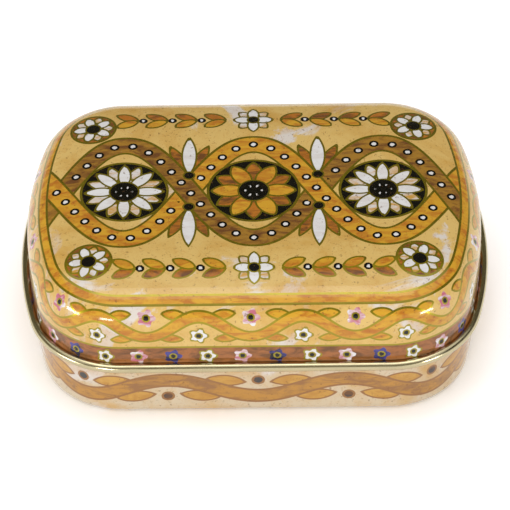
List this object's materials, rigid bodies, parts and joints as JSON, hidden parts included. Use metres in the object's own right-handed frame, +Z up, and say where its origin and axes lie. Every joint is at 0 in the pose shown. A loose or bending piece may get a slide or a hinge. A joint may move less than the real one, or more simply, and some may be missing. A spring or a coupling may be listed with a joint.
{
  "type": "hinged tin",
  "caption": "Small pressed tinplate box with bowed sides, a pillow-shaped lid that swings back on a rear wire hinge, and a rolled rim.",
  "frame": {"origin": "middle of the foot ring's underside, on the table", "axes": "+X along the width, +Y towards the hinge at the back, +Z up"},
  "size_m": [0.062, 0.045, 0.0202],
  "materials": {
    "lid_print": "glossy lithographed tinplate",
    "base_print": "glossy lithographed tinplate",
    "wire_steel": "drawn wire"
  },
  "bodies": {
    "base": {"base_tray": "base_print", "hinge_wire": "wire_steel"},
    "lid": {"lid_shell": "lid_print"}
  },
  "joints": [
    {"name": "lid_hinge", "type": "hinge", "parent": "base", "child": "lid", "pos_m": [0, 0.02185, 0.0091], "axis": [-1, 0, 0], "range_deg": [0, 165]}
  ]
}
